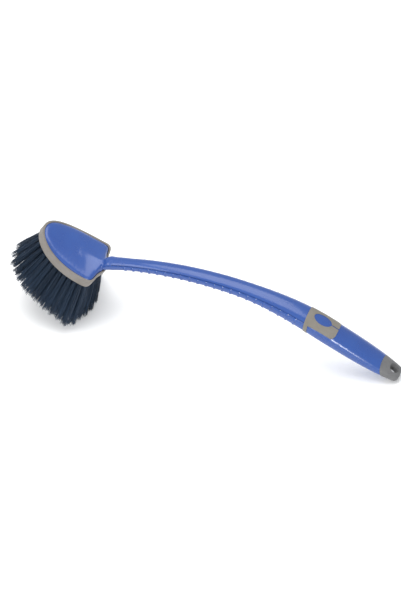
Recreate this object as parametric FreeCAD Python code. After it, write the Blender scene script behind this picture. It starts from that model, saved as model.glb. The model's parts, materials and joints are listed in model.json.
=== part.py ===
"""Long-handled wheel brush: a hollow two-shell handle, a bumper round the head, and tufts
set in a drilled block with flat wire anchors. Millimetres and degrees.

The pieces are drawn in the head frame: x towards the handle end, z out of the top of the
head, and the rim of the head at z = 0 where it is lowest. The finished brush is then
turned to the pose in which it rests on a table, on its rear tufts and its handle end,
with the origin under the middle of its box.
"""

import FreeCAD
import Part
import math
import os

# Head, outside of the bumper
HEAD_LENGTH = 81.0
HEAD_WIDTH = 63.2
BACK_X = 3.6              # back edge of the head, beside the neck
BACK_DEPTH = 13.7         # from the widest place to the back edge
FRONT_POWER = 2.1         # roundness of the front of the plan outline
BACK_POWER = 4.6          # squareness of the two back corners
FLARE_LENGTH = 5.3        # the back edge runs out this far under the neck
FLARE_HALF_WIDTH = 18.0
RIM_ARCH_RADIUS = 151.0   # the rim is arched, hollow side up
DOME_HEIGHT = 7.5
DOME_START_POWER = 0.6    # how fast the dome rises from the tip
HEAD_SHOULDER = 2.7       # squareness of the dome's cross-section
CROWN_BLEND = 2.2         # softness of the turn from dome to neck
CROWN_LEAD = 3.0          # the dome's crown stops this far short of the neck
CROWN_PACE = 1.7          # how fast the crown runs ahead of the back edge
BACK_LEAN = 0.5           # share by which the last sections lean with the neck
LEAST_RISE = 1.0          # between the foot and the crown of a section

# Bumper
BUMPER_HEIGHT = 10.8
BUMPER_WALL = 2.7
BUMPER_BACK_WALL = 1.8
BUMPER_EDGE = 0.7
LIP_RISE = 1.0            # the bumper stands this far above the shell's lower edge

# Tuft block
FIT_GAP = 0.1
BLOCK_RECESS = 1.0
SPIGOT_HEIGHT = 2.5
SPIGOT_GAP = 0.3

# Tufts and anchors
TUFT_PITCH = 6.2
ROW_STEP = 5.8
ROW_COUNT = 4
FIRST_ROW_INSET = 7.0
FIRST_ROW_BACK_INSET = 6.0
HOLE_DIAMETER = 4.0
HOLE_DEPTH = 6.5
TUFT_GAP = 0.1
TIP_DIAMETER = 7.4
TUFT_LENGTH = 54.0        # in the middle of the head, outside the block
TUFT_FRONT_EXTRA = 4.0    # longer than that at the tip of the head
TUFT_BACK_EXTRA = 9.5     # longer than that at the back edge
LEAN_MIDDLE = 3.3         # lean towards the handle
LEAN_CHANGE = 17.0        # change of that lean from the middle to either end
LEAN_SIDE = 32.0          # lean outwards at the sides
ANCHOR_WIDTH = 4.6
ANCHOR_THICKNESS = 0.4
ANCHOR_HEIGHT = 2.0
ANCHOR_LIFT = 0.4         # above the bottom of the hole

# Handle
SHELL_WALL = 2.2
NECK_START_X = 11.0
NECK_START_Z = 19.2
NECK_ANGLE = 46.7
BEND_ANGLE = 26.1
GRIP_ANGLE = 4.0
FRONT_BEND_RADIUS = 397.0
REAR_BEND_RADIUS = 285.0
GRIP_LENGTH = 103.5
NECK_WIDTH = 14.8
NECK_SWELL = 3.0          # the neck is this much wider where it leaves the head
NECK_SWELL_LENGTH = 22.0
GRIP_WIDTH = 31.3
END_WIDTH = 19.0
STEADY_SWELL = 0.6        # share of the widening that is even from neck to grip
GRIP_SWELL_START = 0.6    # the rest of it lies in this stretch of the handle
GRIP_SWELL_SPAN = 0.4
GRIP_TAPER_POWER = 4.0    # how late the grip narrows towards its end
THICKNESS_RATIO = 0.75
END_THICKNESS_RATIO = 0.6
HANDLE_POWER = 2.15
ROOT_LENGTH = 16.0        # the seam rises over this length inside the head
SEAM_ANGLE = 32.0         # the seam lies this far up the flank
GRIP_SEAM_ANGLE = 4.0
SEAM_GAP = 0.1
GROOVE_WIDTH = 1.1
GROOVE_DEPTH = 0.7

# Ribs under the neck
RIB_PITCH = 9.9
RIB_WIDTH = 3.4
RIB_RAMP = 1.0
RIB_HEIGHT = 0.7
RIB_FADE = 24.0           # degrees of flank over which a rib fades out at the seam
RIB_START = 14.0
RIB_END_GAP = 6.0         # smooth length between the last rib and the pad

# Thumb pad
PAD_LENGTH = 36.0
PAD_BAND = 4.5
PAD_BAND_TILT = 15.0
PAD_WIDTH = 27.0
PAD_CORNER = 5.0
PAD_DEPTH = 1.2
PAD_PROUD = 0.35
PAD_TO_END = 120.5        # front of the pad to the tip of the handle
WINDOW_LENGTH = 22.0
WINDOW_WIDTH = 13.5
WINDOW_PLACE = 15.5       # from the front of the pad to the middle of the window
SLIT_WIDTH = 1.2

# End cap
CAP_LENGTH = 20.5
CAP_TILT = 32.0
CAP_ROUNDING = 3.5
CAP_SPIGOT = 10.0
HANG_HOLE_DIAMETER = 7.5
HANG_HOLE_TO_END = 9.0
HANG_HOLE_LAND = 3.0
HANG_HOLE_BEVEL = 24.0    # degrees off the bore's axis

# Resolution of the curves
FRONT_ANGLES = [88, 84, 78, 70, 60, 48, 34, 18]     # sections of the dome, tip to side
BACK_ANGLES = [0, 12, 28, 45, 60, 70, 78, 84]       # and on along the back edge
OUTLINE_STEPS = 14
SECTION_STEPS = 8
TIP_ANGLES = [0, 20, 40, 60, 78, 90]
ARC_STEP = 14.0
BOX_TOLERANCE = 0.1
STEEPEST_PITCH = 60.0
PITCH_STEPS = 40

BIG = 400.0               # larger than the object, for cutting tools
HEAD_MARGIN = 5.0         # cutting tools reach this far past the head
HALF_WIDTH = HEAD_WIDTH / 2
TIP_X = BACK_X - HEAD_LENGTH
MIDDLE_X = (TIP_X + BACK_X) / 2
JOINT_DROP = LIP_RISE     # shell and block meet this far below the rim
TRIM_ALLOWANCE = 0.6      # the shell is lofted this much too low, then trimmed to the arch
NECK_FIRST = -6.0         # the first whole section of the neck, inside the head
NECK_ROOT = -12.0         # the plug under the neck's root starts here, inside the head
EVEN_START = 18.0         # sections of the handle are evenly spaced from here
UNDER_START = -3.0        # the bottom shell's full section starts here
CAVITY_START = -4.5       # the handle's hollow starts here, inside the head's
PLUG_SHRINK = 0.25
CAVITY_STEP = 0.2         # the handle's hollow is this much smaller where the head's ends
PLUG_DROP = 1.0           # degrees of flank by which the plug stays below the seam


def vec(x, y, z):
    return FreeCAD.Vector(x, y, z)


def mirrored(p):
    return vec(p.x, -p.y, p.z)


def power(value, exponent):
    return max(value, 0.0) ** exponent


def mix(a, b, share):
    return a + (b - a) * share


def smooth(share):
    share = min(max(share, 0.0), 1.0)
    return share * share * (3 - 2 * share)


# ---------------------------------------------------------------- plan outline

def flare(y):
    """How far the back edge runs out under the neck, at the distance y from the middle."""
    if abs(y) >= FLARE_HALF_WIDTH:
        return 0.0
    return FLARE_LENGTH * math.cos(math.pi * y / (2 * FLARE_HALF_WIDTH)) ** 2


def outline_sizes(inset, back_inset):
    """Widest place, reach to the tip, reach to the back and half width of an inset outline."""
    width = HALF_WIDTH - inset
    depth = BACK_DEPTH * width / HALF_WIDTH
    widest = BACK_X - back_inset - depth
    return widest, widest - TIP_X - inset, depth, width


def front_point(angle, inset, back_inset):
    widest, reach, depth, width = outline_sizes(inset, back_inset)
    turn = math.radians(angle)
    x = widest - reach * power(math.sin(turn), 2 / FRONT_POWER)
    return x, width * power(math.cos(turn), 2 / FRONT_POWER)


def back_point(angle, inset, back_inset):
    widest, reach, depth, width = outline_sizes(inset, back_inset)
    turn = math.radians(angle)
    y = width * power(math.cos(turn), 2 / BACK_POWER)
    x = widest + depth * power(math.sin(turn), 2 / BACK_POWER)
    return x + flare(y), y


def half_outline(inset, back_inset, steps):
    """Points from the tip, round one side, to the middle of the back edge."""
    front = [front_point(90.0 * (1 - i / steps), inset, back_inset) for i in range(steps)]
    back = [back_point(90.0 * i / steps, inset, back_inset) for i in range(steps + 1)]
    return front + back


def outline_face(inset, back_inset):
    """The closed plan outline as a face in the plane z = 0."""
    side = half_outline(inset, back_inset, OUTLINE_STEPS)
    other = [(x, -y) for x, y in reversed(side[1:-1])]
    points = [vec(x, y, 0) for x, y in side + other]
    curve = Part.BSplineCurve()
    curve.interpolate(Points=points, PeriodicFlag=True)
    return Part.Face(Part.Wire(curve.toShape()))


def rim_z(x):
    return RIM_ARCH_RADIUS - math.sqrt(RIM_ARCH_RADIUS ** 2 - (x - MIDDLE_X) ** 2)


def arched_slab(low, high):
    """The space between two heights above the arched rim."""
    centre = vec(MIDDLE_X, -BIG / 2, RIM_ARCH_RADIUS)
    outer = Part.makeCylinder(RIM_ARCH_RADIUS - low, BIG, centre, vec(0, 1, 0))
    inner = Part.makeCylinder(RIM_ARCH_RADIUS - high, BIG, centre, vec(0, 1, 0))
    length = HEAD_LENGTH + 2 * FLARE_LENGTH + 2 * HEAD_MARGIN
    corner = vec(TIP_X - HEAD_MARGIN, -BIG / 2, -BIG / 2)
    head_box = Part.makeBox(length, BIG, BIG / 2 + HEAD_LENGTH / 2, corner)
    return outer.cut(inner).common(head_box)


def prism(inset, back_inset):
    face = outline_face(inset, back_inset)
    face.translate(vec(0, 0, -BIG / 4))
    return face.extrude(vec(0, 0, BIG / 2))


# ---------------------------------------------------------------- handle centre line

FRONT_BEND_LENGTH = FRONT_BEND_RADIUS * math.radians(NECK_ANGLE - BEND_ANGLE)
REAR_BEND_LENGTH = REAR_BEND_RADIUS * math.radians(BEND_ANGLE - GRIP_ANGLE)
HANDLE_LENGTH = FRONT_BEND_LENGTH + REAR_BEND_LENGTH + GRIP_LENGTH
PAD_START = HANDLE_LENGTH - PAD_TO_END
CAP_START = HANDLE_LENGTH - CAP_LENGTH


def along(start, start_angle, radius, length):
    """The end of an arc that flattens as it runs, and its direction there."""
    end_angle = start_angle - math.degrees(length / radius)
    a, b = math.radians(start_angle), math.radians(end_angle)
    x = start.x + radius * (math.sin(a) - math.sin(b))
    return vec(x, 0, start.z + radius * (math.cos(b) - math.cos(a))), end_angle


def straight(start, angle, length):
    turn = math.radians(angle)
    return start + vec(math.cos(turn), 0, math.sin(turn)) * length


def centre_line(s):
    """Point and direction at the length s along the handle, from the start of the neck."""
    start = vec(NECK_START_X, 0, NECK_START_Z)
    if s <= 0:
        return straight(start, NECK_ANGLE, s), NECK_ANGLE
    if s <= FRONT_BEND_LENGTH:
        return along(start, NECK_ANGLE, FRONT_BEND_RADIUS, s)
    middle, angle = along(start, NECK_ANGLE, FRONT_BEND_RADIUS, FRONT_BEND_LENGTH)
    s -= FRONT_BEND_LENGTH
    if s <= REAR_BEND_LENGTH:
        return along(middle, angle, REAR_BEND_RADIUS, s)
    end, angle = along(middle, angle, REAR_BEND_RADIUS, REAR_BEND_LENGTH)
    return straight(end, GRIP_ANGLE, s - REAR_BEND_LENGTH), GRIP_ANGLE


def normal(angle):
    turn = math.radians(angle)
    return vec(-math.sin(turn), 0, math.cos(turn))


def tangent(angle):
    turn = math.radians(angle)
    return vec(math.cos(turn), 0, math.sin(turn))


GRIP_PLACE = PAD_START + PAD_LENGTH / 2      # the widest place of the grip


def half_width(s):
    """Half the handle's width: slender neck, full grip, narrow end."""
    if s <= GRIP_PLACE:
        share = max(s, 0.0) / GRIP_PLACE
        late = smooth((share - GRIP_SWELL_START) / GRIP_SWELL_SPAN)
        swell = mix(late, share, STEADY_SWELL)
        root = NECK_SWELL * smooth((NECK_SWELL_LENGTH - s) / (NECK_SWELL_LENGTH - NECK_ROOT))
        return (mix(NECK_WIDTH, GRIP_WIDTH, swell) + root) / 2
    share = (s - GRIP_PLACE) / (HANDLE_LENGTH - GRIP_PLACE)
    return mix(GRIP_WIDTH, END_WIDTH, share ** GRIP_TAPER_POWER) / 2


def half_thickness(s):
    share = smooth((s - GRIP_PLACE) / (HANDLE_LENGTH - GRIP_PLACE))
    return half_width(s) * mix(THICKNESS_RATIO, END_THICKNESS_RATIO, share)


def seam_angle(s):
    """How far up the flank the seam lies."""
    rise = smooth(s / ROOT_LENGTH + 1) * SEAM_ANGLE
    drop = smooth((s - PAD_START) / PAD_LENGTH)
    return mix(rise, GRIP_SEAM_ANGLE, drop)


# ---------------------------------------------------------------- sections

def section_point(section, v, proud=0.0):
    """A point of a section at the angle v: 0 and 180 are the sides, 90 is the crown."""
    base, side, crown, keel, squareness = section
    turn = math.radians(v)
    flank = side if math.cos(turn) >= 0 else mirrored(side)
    top = crown if math.sin(turn) >= 0 else keel
    across = (flank - base) * power(abs(math.cos(turn)), 2 / squareness)
    up = (top - base) * power(abs(math.sin(turn)), 2 / squareness)
    out = across + up
    if proud:
        out = out * (1 + proud / out.Length)
    return base + out


def handle_section(s, shrink):
    """A whole section of the neck or grip, smaller all round by shrink."""
    centre, angle = centre_line(s)
    side = centre + vec(0, half_width(s) - shrink, 0)
    up = normal(angle) * (half_thickness(s) - shrink)
    return centre, side, centre + up, centre - up, HANDLE_POWER


def crown_z(x, shrink):
    """Height of the top line where the dome turns up into the neck."""
    neck = NECK_START_Z + (x - NECK_START_X) + NECK_WIDTH * THICKNESS_RATIO / math.sqrt(2)
    dome = rim_z(x) + DOME_HEIGHT
    middle = (dome + neck) / 2
    return middle + math.hypot((dome - neck) / 2, CROWN_BLEND) - CROWN_BLEND - shrink


def head_section(side_xy, crown_x, height, lean, squareness, shrink):
    """A section of the dome, from the rim to the crown. lean moves its foot to the neck."""
    x, y = side_xy
    side = vec(x, y, rim_z(x) - JOINT_DROP - TRIM_ALLOWANCE)
    crown_top = crown_z(crown_x, shrink)
    foot_z = mix(side.z, NECK_START_Z - NECK_START_X + crown_x + BACK_X, lean)
    foot_z = min(foot_z, crown_top - LEAST_RISE)
    foot = vec(mix(crown_x, x, lean), 0, mix(side.z, foot_z, lean))
    crown = vec(crown_x, 0, side.z + (crown_top - side.z) * height)
    return foot, side, crown, foot, squareness


def head_sections(shrink):
    """Sections from the tip, round the side and along the back edge to the neck."""
    inset = BUMPER_WALL + FIT_GAP + shrink
    back_inset = BUMPER_BACK_WALL + FIT_GAP + shrink
    sections = []
    for angle in FRONT_ANGLES:
        xy = front_point(angle, inset, back_inset)
        rise = power(math.cos(math.radians(angle)), DOME_START_POWER)
        sections.append(head_section(xy, xy[0], rise, 0.0, HEAD_SHOULDER, shrink))
    first = sections[-1][1].x
    last = handle_section(NECK_FIRST, 0.0)[2].x - CROWN_LEAD
    for i, angle in enumerate(BACK_ANGLES):
        share = (i + 1) / (len(BACK_ANGLES) + 1)
        xy = back_point(angle, inset, back_inset)
        crown_x = mix(first, last, 1 - (1 - share) ** CROWN_PACE)
        lean = smooth(share) * BACK_LEAN
        square = mix(HEAD_SHOULDER, HANDLE_POWER, share)
        sections.append(head_section(xy, crown_x, 1.0, lean, square, shrink))
    return sections


def arc_edge(points):
    """A smooth curve with evenly spaced knots, so that lofts join like to like."""
    curve = Part.BSplineCurve()
    knots = [i / (len(points) - 1) for i in range(len(points))]
    curve.interpolate(Points=points, Parameters=knots)
    return curve.toShape()


def open_section(section, start, end, proud=None):
    """A closed wire: the section's curve from start to end degrees, and its chord."""
    count = 2 * SECTION_STEPS
    points = []
    for i in range(count + 1):
        v = mix(start, end, i / count)
        points.append(section_point(section, v, proud(v) if proud else 0.0))
    return Part.Wire([arc_edge(points), Part.makeLine(points[-1], points[0])])


def whole_section(section):
    """A closed wire all round the section."""
    count = 4 * SECTION_STEPS
    points = [section_point(section, 360.0 * i / count) for i in range(count)]
    curve = Part.BSplineCurve()
    knots = [i / count for i in range(count + 1)]
    curve.interpolate(Points=points, PeriodicFlag=True, Parameters=knots)
    return Part.Wire(curve.toShape())


def stations(start, end, step):
    count = max(int(math.ceil((end - start) / step)), 1)
    return [mix(start, end, i / count) for i in range(count + 1)]


def handle_places():
    """Where the neck and grip have their sections: closer together at the root."""
    root = [NECK_FIRST, 0.0, ARC_STEP / 2]
    return root + stations(EVEN_START, HANDLE_LENGTH - CAP_ROUNDING, ARC_STEP)


def tube(start, end, shrink):
    """The whole handle between two lengths, as one solid."""
    wires = [whole_section(handle_section(s, shrink)) for s in stations(start, end, ARC_STEP)]
    return Part.makeLoft(wires, True, False)


def behind_cap_face(gap):
    """Everything behind the slanted face where the end cap starts."""
    point, angle = centre_line(CAP_START)
    box = Part.makeBox(BIG, BIG, BIG, vec(0, -BIG / 2, -BIG / 2))
    box.translate(vec(-gap, 0, 0))
    box.rotate(vec(0, 0, 0), vec(0, 1, 0), -CAP_TILT - angle)
    box.translate(point)
    return box


# ---------------------------------------------------------------- shells

def seam_groove():
    """A pair of thin bars along the seam, from the head to the pad."""
    bars = []
    for mirror in (False, True):
        wires = []
        for s in stations(0, PAD_START, ARC_STEP):
            section = handle_section(s, 0.0)
            middle = section_point(section, seam_angle(s))
            centre, angle = centre_line(s)
            out = (middle - centre).normalize()
            up = tangent(angle).cross(out) * (GROOVE_WIDTH / 2)
            deep = out * GROOVE_DEPTH
            corners = [middle - deep - up, middle + deep - up]
            corners += [middle + deep + up, middle - deep + up]
            if mirror:
                corners = [mirrored(p) for p in corners]
            wires.append(Part.makePolygon(corners + corners[:1]))
        bars.append(Part.makeLoft(wires, True, False))
    return bars[0].fuse(bars[1])


def head_trim():
    """The space under the head's shell."""
    return arched_slab(-HEAD_LENGTH / 2, -JOINT_DROP)


def top_body():
    """The top shell before it is hollowed."""
    wires = [open_section(section, 0, 180) for section in head_sections(0.0)]
    for s in handle_places():
        seam = seam_angle(s)
        wires.append(open_section(handle_section(s, 0.0), seam, 180 - seam))
    return Part.makeLoft(wires, True, False).cut(head_trim())


def neck_plug(top):
    """The underside of the neck's root, which closes the head behind the block."""
    wires = []
    for s in stations(NECK_ROOT, 0.0, ARC_STEP / 2):
        start = seam_angle(s) - PLUG_DROP
        wires.append(open_section(handle_section(s, PLUG_SHRINK), start, -180 - start))
    return Part.makeLoft(wires, True, False).cut(top)


def top_cavity():
    """The top shell's hollow: from the dome, through the neck, to the end of the grip."""
    wires = [open_section(section, 0, 180) for section in head_sections(SHELL_WALL)[1:]]
    for s in handle_places():
        wires.append(open_section(handle_section(s, SHELL_WALL), 0, 180))
    return Part.makeLoft(wires, True, False)


def handle_cavity():
    return tube(CAVITY_START, HANDLE_LENGTH - CAP_ROUNDING, SHELL_WALL + CAVITY_STEP)


def rib_heights():
    """Lengths along the neck where its underside changes height, with the height there."""
    places = [(UNDER_START + SEAM_GAP, 0.0), (0.0, 0.0), (RIB_START / 2, 0.0)]
    s = RIB_START
    while s + RIB_WIDTH < PAD_START - RIB_END_GAP:
        places.append((s, 0.0))
        places.append((s + RIB_RAMP, RIB_HEIGHT))
        places.append((s + RIB_WIDTH - RIB_RAMP, RIB_HEIGHT))
        places.append((s + RIB_WIDTH, 0.0))
        s += RIB_PITCH
    places.append((PAD_START - RIB_END_GAP / 2, 0.0))
    return places


def under_section(s, height):
    """The handle's section below the seam, with a rib of the given height."""
    section = handle_section(s, 0.0)
    start = seam_angle(s) - math.degrees(SEAM_GAP / half_width(s))
    end = -180 - start

    def proud(v):
        below = start - v if v > -90 else v - end
        return height * smooth(below / RIB_FADE)

    return open_section(section, start, end, proud)


def bottom_body(top):
    """The bottom shell before it is hollowed: ribbed under the neck, smooth under the grip."""
    ribbed = Part.makeLoft([under_section(s, height) for s, height in rib_heights()], True, True)
    grip_start = PAD_START - RIB_END_GAP / 2
    places = stations(grip_start, HANDLE_LENGTH - CAP_ROUNDING, ARC_STEP)
    smooth_part = Part.makeLoft([under_section(s, 0.0) for s in places], True, False)
    return ribbed.fuse(smooth_part).fuse(neck_plug(top))


def make_shells():
    body = top_body()
    groove = seam_groove()
    cap_space = behind_cap_face(FIT_GAP)
    recess = pad_recess()
    below_rim = prism(-FIT_GAP, -FIT_GAP).common(arched_slab(-HEAD_LENGTH / 2, FIT_GAP))
    hollow = handle_cavity()
    ring_space = below_rim.cut(prism(BUMPER_WALL, BUMPER_BACK_WALL))
    top = body.cut(ring_space).cut(top_cavity()).cut(groove).cut(cap_space).cut(recess)
    bottom = bottom_body(body).cut(below_rim).cut(hollow).cut(groove).cut(cap_space).cut(recess)
    return largest_solid(top), largest_solid(bottom)


def largest_solid(shape):
    return max(shape.Solids, key=lambda solid: solid.Volume)


# ---------------------------------------------------------------- thumb pad

def grip_frame(shape, s):
    """Places a shape drawn with x along the handle and z out of its top at the length s."""
    point, angle = centre_line(s)
    shape.rotate(vec(0, 0, 0), vec(0, 1, 0), -angle)
    shape.translate(point)
    return shape


def rounded_plate(length, width, corner, grow):
    """A flat outline, square in front and rounded behind, from x = 0."""
    back = length + grow
    side = width / 2 + grow
    start = -grow
    diagonal = corner * (1 - math.sqrt(0.5))
    arc_near = Part.Arc(vec(back - corner, -side, 0), vec(back - diagonal, diagonal - side, 0),
                        vec(back, corner - side, 0))
    arc_far = Part.Arc(vec(back, side - corner, 0), vec(back - diagonal, side - diagonal, 0),
                       vec(back - corner, side, 0))
    edges = [Part.makeLine(vec(start, -side, 0), vec(back - corner, -side, 0)), arc_near.toShape(),
             Part.makeLine(vec(back, corner - side, 0), vec(back, side - corner, 0)), arc_far.toShape(),
             Part.makeLine(vec(back - corner, side, 0), vec(start, side, 0)),
             Part.makeLine(vec(start, side, 0), vec(start, -side, 0))]
    return Part.Face(Part.Wire(edges))


def pad_space(grow):
    """The space of the pad seen from above: a plate on top and a band all round, less the
    window and the slit behind it."""
    tall = vec(0, 0, GRIP_WIDTH)
    plate = rounded_plate(PAD_LENGTH, PAD_WIDTH, PAD_CORNER, grow).extrude(tall)
    corner = vec(-grow, -GRIP_WIDTH, -GRIP_WIDTH)
    band = Part.makeBox(PAD_BAND + 2 * grow, 2 * GRIP_WIDTH, 2 * GRIP_WIDTH, corner)
    band.rotate(vec(0, 0, 0), vec(0, 1, 0), -PAD_BAND_TILT)
    oval = Part.Ellipse(vec(WINDOW_PLACE, 0, 0), WINDOW_LENGTH / 2 - grow, WINDOW_WIDTH / 2 - grow)
    window = Part.Face(Part.Wire(oval.toShape())).extrude(tall)
    slit_width = SLIT_WIDTH - 2 * grow
    slit = Part.makeBox(PAD_LENGTH, slit_width, GRIP_WIDTH, vec(WINDOW_PLACE, -slit_width / 2, 0))
    return grip_frame(plate.fuse(band).cut(window).cut(slit), PAD_START)


def pad_recess():
    """What the shells lose where the pad lies in them."""
    core = tube(PAD_START - PAD_LENGTH, PAD_START + 2 * PAD_LENGTH, PAD_DEPTH + FIT_GAP)
    return pad_space(FIT_GAP).cut(core)


def make_pad():
    outer = tube(PAD_START - PAD_LENGTH, PAD_START + 2 * PAD_LENGTH, -PAD_PROUD)
    inner = tube(PAD_START - PAD_LENGTH, PAD_START + 2 * PAD_LENGTH, PAD_DEPTH)
    return outer.cut(inner).common(pad_space(0.0))


# ---------------------------------------------------------------- end cap

def hang_hole():
    """A short straight bore with a wide bevel on both sides."""
    radius = HANG_HOLE_DIAMETER / 2
    bore = Part.makeCylinder(radius, 2 * END_WIDTH, vec(0, 0, -END_WIDTH))
    spread = END_WIDTH * math.tan(math.radians(HANG_HOLE_BEVEL))
    for direction in (1, -1):
        start = vec(0, 0, direction * HANG_HOLE_LAND / 2)
        bevel = Part.makeCone(radius, radius + spread, END_WIDTH, start, vec(0, 0, direction))
        bore = bore.fuse(bevel)
    return grip_frame(bore, HANDLE_LENGTH - HANG_HOLE_TO_END)


def make_cap():
    cap = tube(CAP_START - CAP_LENGTH, HANDLE_LENGTH - CAP_ROUNDING, 0.0).fuse(cap_tip())
    root = CAP_START + CAP_SPIGOT / 2
    inside = SHELL_WALL + CAVITY_STEP + SPIGOT_GAP
    face = Part.Face(whole_section(handle_section(root, inside)))
    spigot = face.extrude(tangent(GRIP_ANGLE) * (CAP_START - CAP_SPIGOT - root))
    return cap.common(behind_cap_face(0.0)).fuse(spigot).cut(hang_hole())


def cap_tip():
    """The rounded last stretch of the handle."""
    start = HANDLE_LENGTH - CAP_ROUNDING
    wires = []
    for turn in TIP_ANGLES:
        past = CAP_ROUNDING * math.sin(math.radians(turn))
        lost = CAP_ROUNDING * (1 - math.cos(math.radians(turn)))
        wires.append(whole_section(handle_section(start + past, lost)))
    return Part.makeLoft(wires, True, False)


# ---------------------------------------------------------------- bumper and block

def make_bumper():
    outer = prism(0, 0).common(arched_slab(-BUMPER_HEIGHT, 0))
    outer = outer.makeFillet(BUMPER_EDGE, outer.Edges)
    return outer.cut(prism(BUMPER_WALL, BUMPER_BACK_WALL))


def make_block(holes, slots):
    """The plate that closes the head, with a raised middle that locates it in the shell."""
    top = -JOINT_DROP
    plate = prism(BUMPER_WALL + FIT_GAP, BUMPER_BACK_WALL + FIT_GAP)
    plate = plate.common(arched_slab(BLOCK_RECESS - BUMPER_HEIGHT, top))
    inset = BUMPER_WALL + FIT_GAP + SHELL_WALL + SPIGOT_GAP
    back_inset = BUMPER_BACK_WALL + FIT_GAP + 2 * SHELL_WALL + FLARE_LENGTH
    spigot = prism(inset, back_inset).common(arched_slab(top - 1, top + SPIGOT_HEIGHT))
    return plate.fuse(spigot).cut(Part.Compound(holes + slots))


# ---------------------------------------------------------------- tufts

def row_places(inset, back_inset):
    """Evenly spaced places along one closed row."""
    side = half_outline(inset, back_inset, 4 * OUTLINE_STEPS)
    loop = side + [(x, -y) for x, y in reversed(side[1:-1])]
    loop.append(loop[0])
    lengths = [math.dist(loop[i], loop[i + 1]) for i in range(len(loop) - 1)]
    count = int(sum(lengths) / TUFT_PITCH)
    places = []
    for k in range(count):
        left = sum(lengths) * (k + 0.5) / count
        i = 0
        while left > lengths[i]:
            left -= lengths[i]
            i += 1
        share = left / lengths[i]
        x = mix(loop[i][0], loop[i + 1][0], share)
        places.append((x, mix(loop[i][1], loop[i + 1][1], share)))
    return places


def middle_places():
    """A straight row down the middle of what the closed rows leave free."""
    inset = FIRST_ROW_INSET + ROW_STEP * ROW_COUNT
    start = TIP_X + inset
    end = BACK_X - FIRST_ROW_BACK_INSET - ROW_STEP * ROW_COUNT
    count = max(int((end - start) / TUFT_PITCH), 1)
    return [(mix(start, end, (k + 0.5) / count), 0.0) for k in range(count)]


def tuft_frame(x, y):
    """Where a tuft leaves the block, which way it points, and its length outside."""
    root = vec(x, y, rim_z(x) - BUMPER_HEIGHT + BLOCK_RECESS)
    length_share = (x - MIDDLE_X) / (HEAD_LENGTH / 2)
    extra = TUFT_BACK_EXTRA if length_share > 0 else TUFT_FRONT_EXTRA
    lean_x = math.radians(LEAN_MIDDLE + LEAN_CHANGE * length_share)
    lean_y = math.radians(LEAN_SIDE * y / HALF_WIDTH)
    way = vec(math.tan(lean_x), math.tan(lean_y), -1).normalize()
    return root, way, TUFT_LENGTH + extra * length_share ** 2


def place_on(shape, root, way):
    """Moves a shape drawn along +z from the origin to a root and a direction."""
    shape.Placement = FreeCAD.Placement(root, FreeCAD.Rotation(vec(0, 0, 1), way))
    return shape


def turned(points):
    """A solid of revolution about z from (radius, height) points that start and end on it."""
    wire = Part.makePolygon([vec(r, 0, z) for r, z in points + points[:1]])
    return Part.Face(wire).revolve(vec(0, 0, 0), vec(0, 0, 1), 360)


def make_tuft(x, y):
    root, way, length = tuft_frame(x, y)
    radius = HOLE_DIAMETER / 2 - TUFT_GAP
    rod = [(0, -HOLE_DEPTH), (radius, -HOLE_DEPTH), (radius, 0)]
    cone = [(TIP_DIAMETER / 2, length), (0, length)]
    return place_on(turned(rod + cone), root, way)


def make_hole(x, y):
    root, way, length = tuft_frame(x, y)
    hole = Part.makeCylinder(HOLE_DIAMETER / 2, HOLE_DEPTH + HOLE_DIAMETER, vec(0, 0, -HOLE_DEPTH))
    return place_on(hole, root, way)


def make_anchor(x, y):
    root, way, length = tuft_frame(x, y)
    corner = vec(-ANCHOR_WIDTH / 2, -ANCHOR_THICKNESS / 2, TUFT_GAP + ANCHOR_LIFT - HOLE_DEPTH)
    return place_on(Part.makeBox(ANCHOR_WIDTH, ANCHOR_THICKNESS, ANCHOR_HEIGHT, corner), root, way)


def tuft_rows():
    """Row name and places of every row of tufts."""
    rows = {}
    for k in range(ROW_COUNT):
        inset = FIRST_ROW_INSET + ROW_STEP * k
        rows[f"row_{k + 1}"] = row_places(inset, FIRST_ROW_BACK_INSET + ROW_STEP * k)
    rows["middle"] = middle_places()
    return rows


# ---------------------------------------------------------------- assembly

def resting_pose(rows):
    """The placement that sets the brush down on its rear tufts and its handle end."""
    tips = []
    for x, y in [place for places in rows.values() for place in places]:
        root, way, length = tuft_frame(x, y)
        side = way.cross(vec(0, 1, 0)).normalize() * (TIP_DIAMETER / 2)
        tips += [root + way * length + side, root + way * length - side]
    ends = []
    for s in stations(HANDLE_LENGTH - 2 * CAP_ROUNDING, HANDLE_LENGTH, CAP_ROUNDING / 8):
        ends.append(handle_section(s, 0.0)[3])
    low, high = 0.0, STEEPEST_PITCH
    for step in range(PITCH_STEPS):
        pitch = (low + high) / 2
        turn = FreeCAD.Rotation(vec(0, 1, 0), pitch)
        floor_gap = min(turn.multVec(p).z for p in ends) - min(turn.multVec(p).z for p in tips)
        if floor_gap > 0:
            low = pitch
        else:
            high = pitch
    return FreeCAD.Placement(vec(0, 0, 0), turn), pitch


def corners(shapes):
    """The lowest and highest corner of the box round some shapes, read from their surfaces."""
    points = [p for shape in shapes for p in shape.tessellate(BOX_TOLERANCE)[0]]
    low = vec(min(p.x for p in points), min(p.y for p in points), min(p.z for p in points))
    return low, vec(max(p.x for p in points), max(p.y for p in points), max(p.z for p in points))


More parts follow.
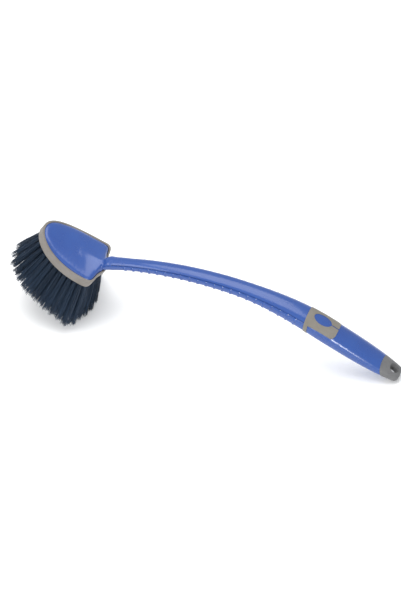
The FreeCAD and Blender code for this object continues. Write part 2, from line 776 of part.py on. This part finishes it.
def main():
    os.makedirs("parts", exist_ok=True)
    rows = tuft_rows()
    nodes = {}
    holes, slots = [], []
    for name, places in rows.items():
        anchors = [make_anchor(x, y) for x, y in places]
        tufts = [make_tuft(x, y).cut(anchor) for (x, y), anchor in zip(places, anchors)]
        holes += [make_hole(x, y) for x, y in places]
        slots += anchors
        nodes[f"tufts_{name}"] = Part.Compound(tufts)
        nodes[f"anchors_{name}"] = Part.Compound(anchors)
    nodes["tuft_block"] = make_block(holes, slots)
    nodes["top_shell"], nodes["bottom_shell"] = make_shells()
    nodes["bumper_ring"] = make_bumper()
    nodes["thumb_pad"] = make_pad()
    nodes["end_cap"] = make_cap()

    pose, pitch = resting_pose(rows)
    turned_nodes = {name: shape.transformed(pose.Matrix) for name, shape in nodes.items()}
    low, high = corners(turned_nodes.values())
    shift = vec(-(low.x + high.x) / 2, 0, -low.z)
    for name, shape in turned_nodes.items():
        shape.translate(shift)
        shape.exportStep(f"parts/{name}.step")
        print(name, "valid", shape.isValid(), "solids", len(shape.Solids), "volume", round(shape.Volume))

    hole, angle = centre_line(HANDLE_LENGTH - HANG_HOLE_TO_END)
    place = pose.multVec(hole) + shift
    axis = pose.Rotation.multVec(normal(angle))
    print("resting pitch", round(pitch, 2), "box", [round(n, 1) for n in high - low])
    print("hang hole at", [round(n, 3) for n in place], "axis", [round(n, 5) for n in axis])


main()
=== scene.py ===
# %% [markdown]
# # A wheel brush with a long handle
# This lesson dresses the finished CAD model of a brush for washing wheels. The model
# gives every hard piece its true size and place. What is left for Blender is what makes
# the brush look real: the finish of each plastic and rubber, thousands of bristles in
# place of plain cones, and a calm studio around it.
#
# The stock scene has a cube, a lamp and a camera in it. They go first, and then the
# model comes in.

# %% Load the CAD frame
import bmesh
import bpy
import json
import math
import random
from mathutils import Matrix, Vector

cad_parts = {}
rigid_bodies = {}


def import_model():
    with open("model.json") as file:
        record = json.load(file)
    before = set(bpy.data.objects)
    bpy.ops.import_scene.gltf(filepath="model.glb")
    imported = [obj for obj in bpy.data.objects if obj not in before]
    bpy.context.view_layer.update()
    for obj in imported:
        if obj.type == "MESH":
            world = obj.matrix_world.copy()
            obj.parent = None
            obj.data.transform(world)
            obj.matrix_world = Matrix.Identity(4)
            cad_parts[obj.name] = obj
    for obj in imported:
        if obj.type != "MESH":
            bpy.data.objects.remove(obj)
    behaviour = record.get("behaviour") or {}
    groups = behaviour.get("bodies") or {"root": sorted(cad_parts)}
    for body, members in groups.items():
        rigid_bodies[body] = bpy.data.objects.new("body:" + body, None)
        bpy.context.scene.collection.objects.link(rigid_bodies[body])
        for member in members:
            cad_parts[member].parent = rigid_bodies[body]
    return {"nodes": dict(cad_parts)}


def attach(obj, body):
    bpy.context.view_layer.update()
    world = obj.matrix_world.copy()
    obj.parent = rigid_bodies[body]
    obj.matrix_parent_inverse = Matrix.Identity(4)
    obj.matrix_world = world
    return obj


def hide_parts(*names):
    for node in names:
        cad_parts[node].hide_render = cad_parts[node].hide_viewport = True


for leftover in list(bpy.data.objects):
    bpy.data.objects.remove(leftover)
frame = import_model()
bpy.context.view_layer.update()
CAD = frame["nodes"]
BODY = "root"              # nothing moves on a brush, so every piece rides on one body
MM = 0.001

# %% [markdown]
# ## The camera
# A long lens from far away keeps the lines of a long handle calm, as in a catalogue.
# The camera is placed by angles: round the brush, above the table, and a slight roll.
# It looks at a point beside the brush, measured from the table right under its middle.
# Building the camera's own axes as a matrix is safer than an aiming constraint, because
# nothing can change it later.

# %% Place the camera
CAMERA_AROUND = math.radians(25.43)
CAMERA_ABOVE = math.radians(45.92)
CAMERA_ROLL = math.radians(5.45)
LENS_MM = 500
SENSOR_MM = 36.0
FRAME_HEIGHT = 0.673       # metres of scene seen from top to bottom of the picture
LOOK_ASIDE = Vector((-0.0130, 0.0150, 0.0329))
SIGHT_LIMIT = 50.0         # metres, well past the far edge of the table

backward = Vector((math.sin(CAMERA_AROUND) * math.cos(CAMERA_ABOVE),
                   -math.cos(CAMERA_AROUND) * math.cos(CAMERA_ABOVE),
                   math.sin(CAMERA_ABOVE)))
level = Vector((math.cos(CAMERA_AROUND), math.sin(CAMERA_AROUND), 0.0))
upward = backward.cross(level)
rightward = level * math.cos(CAMERA_ROLL) - upward * math.sin(CAMERA_ROLL)
upward = backward.cross(rightward)
distance = FRAME_HEIGHT * LENS_MM / SENSOR_MM

lens = bpy.data.cameras.new("camera")
lens.lens = LENS_MM
lens.sensor_width = SENSOR_MM
lens.clip_end = SIGHT_LIMIT
camera = bpy.data.objects.new("camera", lens)
turn = Matrix((rightward, upward, backward)).transposed().to_4x4()
camera.matrix_world = Matrix.Translation(LOOK_ASIDE + backward * distance) @ turn
bpy.context.scene.collection.objects.link(camera)
bpy.context.scene.camera = camera
print("camera stands", round(distance, 2), "m away")

# %% [markdown]
# ## Names for the colours
# Blender's shaders count light in linear numbers, while people pick colours from a
# screen. One small helper turns a screen colour into a linear one, so that each finish
# below can be given by the colour that a maker would choose.

# %% Screen colours to linear ones
def paint(red, green, blue):
    """A colour as seen on a screen, 0 to 255, as the linear colour a shader wants."""
    linear = []            # the usual screen curve: straight near black, then a power
    for value in (red, green, blue):
        share = value / 255
        linear.append(share / 12.92 if share <= 0.04045 else ((share + 0.055) / 1.055) ** 2.4)
    return (*linear, 1.0)


BLUE = paint(38, 74, 142)
BLUE_DEEP = paint(33, 66, 134)
RUBBER_GRAY = paint(120, 115, 110)
RUBBER_GRAY_WARM = paint(112, 106, 99)
PAD_GRAY = paint(112, 107, 98)
PAD_GRAY_WORN = paint(121, 117, 110)
CAP_GRAY = paint(102, 102, 102)
CAP_GRAY_DARK = paint(93, 93, 95)
BLOCK_BLACK = paint(30, 32, 36)
BLOCK_BLACK_DUSTY = paint(44, 46, 50)
BRISTLE_NAVY = paint(20, 34, 50)
BRISTLE_SLATE = paint(42, 62, 86)
BRASS = (0.62, 0.43, 0.17, 1.0)            # metals are given as linear colours
BRASS_DARK = (0.5, 0.33, 0.12, 1.0)

# %% [markdown]
# ## Effects that several finishes share
# Injection moulded plastic is never a perfect mirror. It carries a fine spark-eroded
# grain from the mould, a slower waviness where it shrank as it cooled, and after some
# use a haze from hands. Each effect is a node group, built once and placed in several
# materials with different numbers. The groups give out plain numbers only, and the
# shader itself stays in the material, where the exporter can read it.

# %% A helper for building node groups
def new_group(name, inputs, outputs):
    """An empty shader node group, its nodes, its links, and its two ends."""
    group = bpy.data.node_groups.new(name, "ShaderNodeTree")
    for label, default in inputs:
        socket = group.interface.new_socket(label, in_out="INPUT", socket_type="NodeSocketFloat")
        socket.default_value = default
    for label in outputs:
        group.interface.new_socket(label, in_out="OUTPUT", socket_type="NodeSocketFloat")
    start = group.nodes.new("NodeGroupInput")
    end = group.nodes.new("NodeGroupOutput")
    return group, group.nodes, group.links, start, end


def object_noise(nodes, links, start, detail, roughness):
    """Noise over the piece's own space, with its scale wired to the group's Scale."""
    place = nodes.new("ShaderNodeTexCoord")
    noise = nodes.new("ShaderNodeTexNoise")
    noise.inputs["Detail"].default_value = detail
    noise.inputs["Roughness"].default_value = roughness
    links.new(place.outputs["Object"], noise.inputs["Vector"])
    links.new(start.outputs["Scale"], noise.inputs["Scale"])
    return noise


# %% Moulded grain: fine mould texture on top of slow shrink marks
GRAIN_TO_SHRINK = 0.06     # shrink marks are this much coarser than the grain

moulded_grain, nodes, links, start, end = new_group(
    "moulded_grain", [("Scale", 1800.0), ("Shrink", 0.6)], ["Height"])
fine = object_noise(nodes, links, start, detail=3.0, roughness=0.6)
slower = nodes.new("ShaderNodeMath")
slower.operation = "MULTIPLY"
slower.inputs[1].default_value = GRAIN_TO_SHRINK
links.new(start.outputs["Scale"], slower.inputs[0])
slow = object_noise(nodes, links, start, detail=1.0, roughness=0.4)   # its own scale follows
links.new(slower.outputs["Value"], slow.inputs["Scale"])
blend = nodes.new("ShaderNodeMix")
links.new(start.outputs["Shrink"], blend.inputs["Factor"])
links.new(fine.outputs["Fac"], blend.inputs["A"])
links.new(slow.outputs["Fac"], blend.inputs["B"])
links.new(blend.outputs["Result"], end.inputs["Height"])

# %% Handling haze: cloudy patches where hands and water have been
CLEAR_BELOW = 0.34         # cloud values from clear to fully hazy
HAZY_ABOVE = 0.68

handling_haze, nodes, links, start, end = new_group(
    "handling_haze", [("Scale", 25.0), ("Low", 0.0), ("High", 1.0)], ["Value"])
cloud = object_noise(nodes, links, start, detail=6.0, roughness=0.62)
spread = nodes.new("ShaderNodeMapRange")
spread.inputs["From Min"].default_value = CLEAR_BELOW
spread.inputs["From Max"].default_value = HAZY_ABOVE
links.new(cloud.outputs["Fac"], spread.inputs["Value"])
links.new(start.outputs["Low"], spread.inputs["To Min"])
links.new(start.outputs["High"], spread.inputs["To Max"])
links.new(spread.outputs["Result"], end.inputs["Value"])

# %% Rubber stipple: the tiny round pits of a sand-blasted rubber mould
rubber_stipple, nodes, links, start, end = new_group(
    "rubber_stipple", [("Scale", 2200.0)], ["Height"])
place = nodes.new("ShaderNodeTexCoord")
pits = nodes.new("ShaderNodeTexVoronoi")
pits.feature = "SMOOTH_F1"
pits.inputs["Smoothness"].default_value = 0.6
links.new(place.outputs["Object"], pits.inputs["Vector"])
links.new(start.outputs["Scale"], pits.inputs["Scale"])
links.new(pits.outputs["Distance"], end.inputs["Height"])
print("shared effects:", [group.name for group in bpy.data.node_groups])

# %% [markdown]
# ## A helper that writes one finish
# Every plastic and rubber here follows one recipe: two close shades mixed by a cloudy
# mask, a roughness that wanders a little, and a shallow bump from a shared group. The
# helper lays the recipe out once, and each finish gives it its own numbers. Numbers
# that hold all over a piece go straight onto the shader's sockets.

# %% The recipe for moulded finishes
def place_group(nodes, group, **values):
    """A shared effect placed in a material, with its own numbers."""
    node = nodes.new("ShaderNodeGroup")
    node.node_tree = group
    for label, value in values.items():
        node.inputs[label].default_value = value
    return node


def moulded_finish(name, shade, other_shade, roughness, relief, relief_mm, haze_scale, **fixed):
    """Two close shades, a roughness between two values, and relief: a group and its numbers."""
    material = bpy.data.materials.new(name)
    material.use_nodes = True
    nodes, links = material.node_tree.nodes, material.node_tree.links
    shader = nodes["Principled BSDF"]
    for socket, value in fixed.items():
        shader.inputs[socket.replace("_", " ")].default_value = value

    mask = place_group(nodes, handling_haze, Scale=haze_scale)
    shades = nodes.new("ShaderNodeMix")
    shades.data_type = "RGBA"
    shades.inputs["A"].default_value = shade
    shades.inputs["B"].default_value = other_shade
    links.new(mask.outputs["Value"], shades.inputs["Factor"])
    links.new(shades.outputs["Result"], shader.inputs["Base Color"])

    smooth, dull = roughness
    rough = place_group(nodes, handling_haze, Scale=haze_scale * 2, Low=smooth, High=dull)
    links.new(rough.outputs["Value"], shader.inputs["Roughness"])

    group, settings = relief
    texture = place_group(nodes, group, **settings)
    bump = nodes.new("ShaderNodeBump")
    bump.inputs["Strength"].default_value = 1.0
    bump.inputs["Distance"].default_value = relief_mm * MM
    links.new(texture.outputs["Height"], bump.inputs["Height"])
    links.new(bump.outputs["Normal"], shader.inputs["Normal"])
    return material


# %% [markdown]
# ## The finishes of the hard pieces and the rubbers
# The shells are a glossy polypropylene with a thin sheen of clear reflection. The cap
# is the same kind of plastic left matt. The bumper and the thumb pad are a soft rubber
# that scatters light at low angles, which the sheen socket gives.

# %% Write the finishes
blue_gloss = moulded_finish(
    "blue_gloss_plastic", BLUE, BLUE_DEEP, (0.20, 0.30),
    (moulded_grain, {"Scale": 900.0, "Shrink": 0.75}), 0.02, 22.0,
    Coat_Weight=0.25, Coat_Roughness=0.12, Specular_IOR_Level=0.5)
bumper_rubber = moulded_finish(
    "bumper_soft_rubber", RUBBER_GRAY, RUBBER_GRAY_WARM, (0.55, 0.68),
    (rubber_stipple, {"Scale": 2400.0}), 0.03, 60.0,
    Sheen_Weight=0.12, Sheen_Roughness=0.5, Specular_IOR_Level=0.35)
pad_rubber = moulded_finish(
    "thumb_pad_rubber", PAD_GRAY, PAD_GRAY_WORN, (0.58, 0.74),
    (rubber_stipple, {"Scale": 1500.0}), 0.06, 90.0,
    Sheen_Weight=0.12, Sheen_Roughness=0.5, Specular_IOR_Level=0.3)
cap_plastic = moulded_finish(
    "cap_matt_plastic", CAP_GRAY, CAP_GRAY_DARK, (0.42, 0.55),
    (moulded_grain, {"Scale": 1600.0, "Shrink": 0.3}), 0.04, 80.0, Specular_IOR_Level=0.4)
block_plastic = moulded_finish(
    "block_black_plastic", BLOCK_BLACK, BLOCK_BLACK_DUSTY, (0.5, 0.62),
    (moulded_grain, {"Scale": 1200.0, "Shrink": 0.5}), 0.04, 40.0, Specular_IOR_Level=0.4)
anchor_brass = moulded_finish(
    "anchor_brass_wire", BRASS, BRASS_DARK, (0.28, 0.4),
    (moulded_grain, {"Scale": 3000.0, "Shrink": 0.2}), 0.02, 200.0, Metallic=1.0)

# %% Give each CAD piece its finish
def dress(node, material):
    """Puts a material on a CAD piece through its object, and leaves its mesh alone."""
    for slot in CAD[node].material_slots:
        slot.link = "OBJECT"
        slot.material = material


dress("top_shell", blue_gloss)
dress("bottom_shell", blue_gloss)
dress("bumper_ring", bumper_rubber)
dress("thumb_pad", pad_rubber)
dress("end_cap", cap_plastic)
dress("tuft_block", block_plastic)
ROWS = ["row_1", "row_2", "row_3", "row_4", "middle"]
for row in ROWS:
    dress("anchors_" + row, anchor_brass)
print("finishes in use:", [material.name for material in bpy.data.materials if material.users])

# %% [markdown]
# ## The bristles
# In the CAD model each tuft is a plain cone that holds the tuft's place, lean and
# length. The real one is about a hundred nylon filaments, folded over the wire anchor
# at the bottom of a hole. Hair particles would be quick, but they aren't a mesh, and a
# part library wants real geometry. So each filament is grown here as a thin
# three-sided rod: a small triangle at the root, extruded a few times towards the tip.
#
# First the cones are read. Each is a separate island of the row's mesh, so a merged
# copy is taken apart by walking along its edges from one vertex to the next.

# %% Read root and tip of every tuft
END_REACH = 1.5 * MM       # vertices this close to an end, along the tuft, belong to it
MERGE_WITHIN = 0.002 * MM


def islands(bm):
    """The vertices of each separate solid in a merged mesh."""
    waiting = set(bm.verts)
    while waiting:
        island, edge_of_search = [], [waiting.pop()]
        while edge_of_search:
            vertex = edge_of_search.pop()
            island.append(vertex)
            for edge in vertex.link_edges:
                other = edge.other_vert(vertex)
                if other in waiting:
                    waiting.remove(other)
                    edge_of_search.append(other)
        yield island


def middle_of(points):
    """The average of some points."""
    return sum(points, Vector()) / len(points)


def read_tuft(points):
    """Root and tip of a tuft: the middles of the two ends of its island."""
    middle = middle_of(points)
    one_end = max(points, key=lambda p: (p - middle).length)
    other_end = max(points, key=lambda p: (p - one_end).length)
    way = (other_end - one_end).normalized()
    reach = [(p - one_end).dot(way) for p in points]
    near = middle_of([p for p, r in zip(points, reach) if r < min(reach) + END_REACH])
    far = middle_of([p for p, r in zip(points, reach) if r > max(reach) - END_REACH])
    return (near, far) if near.z > far.z else (far, near)


def read_row(node):
    """Root and tip of every tuft in a row, in an order that never changes."""
    bm = bmesh.new()
    bm.from_mesh(CAD[node].data)
    bmesh.ops.remove_doubles(bm, verts=bm.verts, dist=MERGE_WITHIN)
    tufts = [read_tuft([v.co.copy() for v in island]) for island in islands(bm)]
    bm.free()
    return sorted(tufts, key=lambda tuft: (round(tuft[0].x, 5), round(tuft[0].y, 5)))


tufts_of = {row: read_row("tufts_" + row) for row in ROWS}
for row, tufts in tufts_of.items():
    longest = max((tip - root).length for root, tip in tufts)
    print(row, "has", len(tufts), "tufts, the longest", round(longest / MM, 1), "mm")

# %% [markdown]
# ## How one filament runs
# A filament leaves its hole straight, and the tuft opens towards its end, because the
# filaments push each other apart. Filaments stick together in small clumps, bow a
# little, and are never cut to exactly one length. These few habits are what makes a
# brush look like a brush. The random numbers have a fixed seed, so that the same brush
# grows each time.

# %% Plan the filaments of a row
FILAMENTS = 105            # in one tuft
FILAMENT_RADIUS = 0.21 * MM
TIP_THINNING = 0.8         # the last triangle, against the others
ROOT_ABOVE_ANCHOR = 3.2 * MM
HOLE_RADIUS = 1.75 * MM
TIP_SPREAD = 5.0 * MM
CLUMPS = 5
CLUMP_REACH = (0.25, 0.8)  # where clumps form, as shares of the spread
CLUMP_UNEVEN = 0.02        # share of the length by which clumps differ
CLUMP_PULL = 0.32
PULL_RANGE = (0.4, 1.2)
STRAY_MM = 0.4
BOW = 0.9 * MM
RAGGED = 0.022             # share of the length by which tips differ
SHORT_SHARE = 0.06         # of the filaments, cut shorter than the rest
SHORT_LOSS = (0.02, 0.09)
FLOOR_GAP = 0.25 * MM
SEGMENTS = 5
GOLDEN_TURN = math.pi * (3 - math.sqrt(5))


def side_axes(way):
    """Two directions at right angles to a tuft."""
    across = way.cross(Vector((1.0, 0.0, 0.0))).normalized()
    return across, way.cross(across)


def plan_tuft(root, tip, chance):
    """Points along every filament of one tuft, from the anchor to the tip."""
    way = (tip - root).normalized()
    across, along = side_axes(way)
    start = root + way * ROOT_ABOVE_ANCHOR
    length = (tip - start).length
    clumps = []
    for k in range(CLUMPS):
        angle = 2 * math.pi * (k + chance.random()) / CLUMPS
        reach = TIP_SPREAD * chance.uniform(*CLUMP_REACH)
        uneven = chance.uniform(-CLUMP_UNEVEN, CLUMP_UNEVEN)
        clumps.append((reach * math.cos(angle), reach * math.sin(angle), uneven))
    plans = []
    for k in range(FILAMENTS):
        share = math.sqrt((k + 0.5) / FILAMENTS)
        angle = GOLDEN_TURN * k
        foot = Vector((math.cos(angle), math.sin(angle))) * share * HOLE_RADIUS
        fan = Vector((math.cos(angle), math.sin(angle))) * share * TIP_SPREAD
        near = min(clumps, key=lambda c: (Vector(c[:2]) - fan).length)
        fan = fan.lerp(Vector(near[:2]), CLUMP_PULL * chance.uniform(*PULL_RANGE))
        fan += Vector((chance.gauss(0, STRAY_MM), chance.gauss(0, STRAY_MM))) * MM
        size = 1 + near[2] + chance.gauss(0, RAGGED)
        if chance.random() < SHORT_SHARE:
            size -= chance.uniform(*SHORT_LOSS)
        bend = chance.uniform(0, 2 * math.pi)
        bow = Vector((math.cos(bend), math.sin(bend))) * chance.gauss(0, BOW)
        plans.append(filament_points(start, way * length * size, across, along, foot, fan, bow))
    return plans


def filament_points(start, run, across, along, foot, fan, bow):
    """One filament's points. It is shortened where it would reach into the table."""
    points = []
    for level in range(SEGMENTS + 1):
        share = level / SEGMENTS
        off = foot.lerp(fan, share) + bow * math.sin(math.pi * share)
        points.append(start + run * share + across * off.x + along * off.y)
    low = points[-1].z - FLOOR_GAP
    if low < 0:
        keep = 1 + low / (points[0].z - points[-1].z)
        points = [points[0].lerp(p, keep) for p in points]
    return points


# %% [markdown]
# ## Growing the rods
# `create_circle` with three segments gives each root triangle, turned to face along
# its filament. Then all the triangles of a row are extruded together, five times, with
# `extrude_discrete_faces`, and after each step every new triangle is moved to the next
# point of its own filament. That is far quicker than making rods one by one. A number
# stored on the vertices says which filament a triangle belongs to, and the extrusion
# copies it. Two more numbers stay on the mesh for the material: `strand`, a chance
# value for each filament, and `along`, from 0 at the root to 1 at the tip.

# %% Grow the bristles of each row
def grow_row(name, plans, chance):
    """All the bristles of a row as one mesh of thin three-sided rods."""
    bm = bmesh.new()
    owner = bm.verts.layers.int.new("owner")
    strand = bm.verts.layers.float.new("strand")
    along = bm.verts.layers.float.new("along")
    for index, points in enumerate(plans):
        facing = (points[1] - points[0]).to_track_quat("Z", "Y").to_matrix().to_4x4()
        ring = bmesh.ops.create_circle(
            bm, cap_ends=True, segments=3, radius=FILAMENT_RADIUS,
            matrix=Matrix.Translation(points[0]) @ facing)
        for vertex in ring["verts"]:
            vertex[owner] = index
    ends = list(bm.faces)
    for level in range(1, SEGMENTS + 1):
        ends = bmesh.ops.extrude_discrete_faces(bm, faces=ends)["faces"]
        shrink = TIP_THINNING if level == SEGMENTS else 1.0
        for face in ends:
            points = plans[face.verts[0][owner]]
            here = face.calc_center_median()
            for vertex in face.verts:
                vertex.co = points[level] + (vertex.co - here) * shrink
                vertex[along] = level / SEGMENTS
    rim = [edge for edge in bm.edges if edge.is_boundary]
    bmesh.ops.holes_fill(bm, edges=rim, sides=3)
    bmesh.ops.recalc_face_normals(bm, faces=bm.faces)
    shades = [chance.random() for _ in plans]
    for vertex in bm.verts:
        vertex[strand] = shades[vertex[owner]]
    bm.verts.layers.int.remove(owner)
    mesh = bpy.data.meshes.new(name)
    bm.to_mesh(mesh)
    bm.free()
    mesh.shade_smooth()
    bristles = bpy.data.objects.new(name, mesh)
    bpy.context.scene.collection.objects.link(bristles)
    return bristles


# %% [markdown]
# ## The finish of the bristles
# Dyed nylon is dark and slightly glossy, and light runs along each filament as a soft
# streak. The colour mixes two navy shades by the filament's own chance value, and
# turns a little paler towards the tip. Both come from the numbers stored on the mesh,
# so they follow each filament wherever it goes.

# %% Write the bristle finish
PALE_FROM = 0.3            # along the filament, where it starts to turn paler
ROOT_PALENESS = 0.55
GLOSS_RANGE = (0.38, 0.55)

bristle_nylon = bpy.data.materials.new("bristle_navy_nylon")
bristle_nylon.use_nodes = True
nodes, links = bristle_nylon.node_tree.nodes, bristle_nylon.node_tree.links
shader = nodes["Principled BSDF"]
shader.inputs["Specular IOR Level"].default_value = 0.35

strand_value = nodes.new("ShaderNodeAttribute")
strand_value.attribute_name = "strand"
along_value = nodes.new("ShaderNodeAttribute")
along_value.attribute_name = "along"
tip_pale = nodes.new("ShaderNodeMapRange")
tip_pale.inputs["From Min"].default_value = PALE_FROM
tip_pale.inputs["To Min"].default_value = ROOT_PALENESS
links.new(along_value.outputs["Fac"], tip_pale.inputs["Value"])
mask = nodes.new("ShaderNodeMath")
mask.operation = "MULTIPLY"
links.new(strand_value.outputs["Fac"], mask.inputs[0])
links.new(tip_pale.outputs["Result"], mask.inputs[1])
shades = nodes.new("ShaderNodeMix")
shades.data_type = "RGBA"
shades.inputs["A"].default_value = BRISTLE_NAVY
shades.inputs["B"].default_value = BRISTLE_SLATE
links.new(mask.outputs["Value"], shades.inputs["Factor"])
links.new(shades.outputs["Result"], shader.inputs["Base Color"])
gloss = nodes.new("ShaderNodeMapRange")
gloss.inputs["To Min"].default_value, gloss.inputs["To Max"].default_value = GLOSS_RANGE
links.new(strand_value.outputs["Fac"], gloss.inputs["Value"])
links.new(gloss.outputs["Result"], shader.inputs["Roughness"])

# %% Make, dress and attach every row of bristles
FIRST_SEED = 100
total = 0
for number, row in enumerate(ROWS):
    chance = random.Random(FIRST_SEED + number)
    plans = [points for root, tip in tufts_of[row] for points in plan_tuft(root, tip, chance)]
    bristles = grow_row("bristles_" + row, plans, chance)
    bristles.data.materials.append(bristle_nylon)
    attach(bristles, BODY)
    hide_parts("tufts_" + row)
    triangles = sum(len(face.vertices) - 2 for face in bristles.data.polygons)
    total += triangles
    print(bristles.name, len(plans), "filaments,", triangles, "triangles")
print("all bristles:", total, "triangles")

# %% [markdown]
# ## Table and light
# A white sweep of table and soft light from large panels is how small goods are shown.
# The world gives an even white light from all round. One panel near the camera draws
# the long highlight on the neck, a large one overhead keeps shadows faint, and a third
# fills in the head from its own end.

# %% Table
TABLE_SIZE = 12.0
TABLE_WHITE = (0.93, 0.93, 0.93, 1.0)

bm = bmesh.new()
bmesh.ops.create_grid(bm, x_segments=1, y_segments=1, size=TABLE_SIZE / 2)
table_mesh = bpy.data.meshes.new("table")
bm.to_mesh(table_mesh)
bm.free()
table = bpy.data.objects.new("table", table_mesh)
bpy.context.scene.collection.objects.link(table)
white = bpy.data.materials.new("table_white")
white.use_nodes = True
shader = white.node_tree.nodes["Principled BSDF"]
shader.inputs["Base Color"].default_value = TABLE_WHITE
shader.inputs["Roughness"].default_value = 0.8
table.data.materials.append(white)
print("table, m:", [round(n, 1) for n in table.dimensions])
print("faces up:", table_mesh.polygons[0].normal.z > 0)

# %% Light
def panel(name, around, above, away, width, height, power):
    """A rectangular soft light at angles round the brush, facing its middle."""
    lamp = bpy.data.lights.new(name, "AREA")
    lamp.shape = "RECTANGLE"
    lamp.size, lamp.size_y = width, height
    lamp.energy = power
    light = bpy.data.objects.new(name, lamp)
    a, e = math.radians(around), math.radians(above)
    out = Vector((math.sin(a) * math.cos(e), -math.cos(a) * math.cos(e), math.sin(e)))
    facing = out.to_track_quat("Z", "Y").to_matrix().to_4x4()
    light.matrix_world = Matrix.Translation(out * away) @ facing
    bpy.context.scene.collection.objects.link(light)


panel("overhead_panel", around=200.0, above=80.0, away=1.6, width=1.6, height=1.6, power=22.0)
panel("front_panel", around=20.0, above=22.0, away=1.5, width=0.5, height=0.25, power=9.0)
panel("side_panel", around=-60.0, above=40.0, away=1.6, width=0.8, height=0.8, power=6.0)

world = bpy.data.worlds.new("studio")
world.use_nodes = True
backdrop = world.node_tree.nodes["Background"]
backdrop.inputs["Color"].default_value = (0.96, 0.98, 1.0, 1.0)
backdrop.inputs["Strength"].default_value = 0.75
bpy.context.scene.world = world
bpy.context.scene.view_settings.view_transform = "Standard"
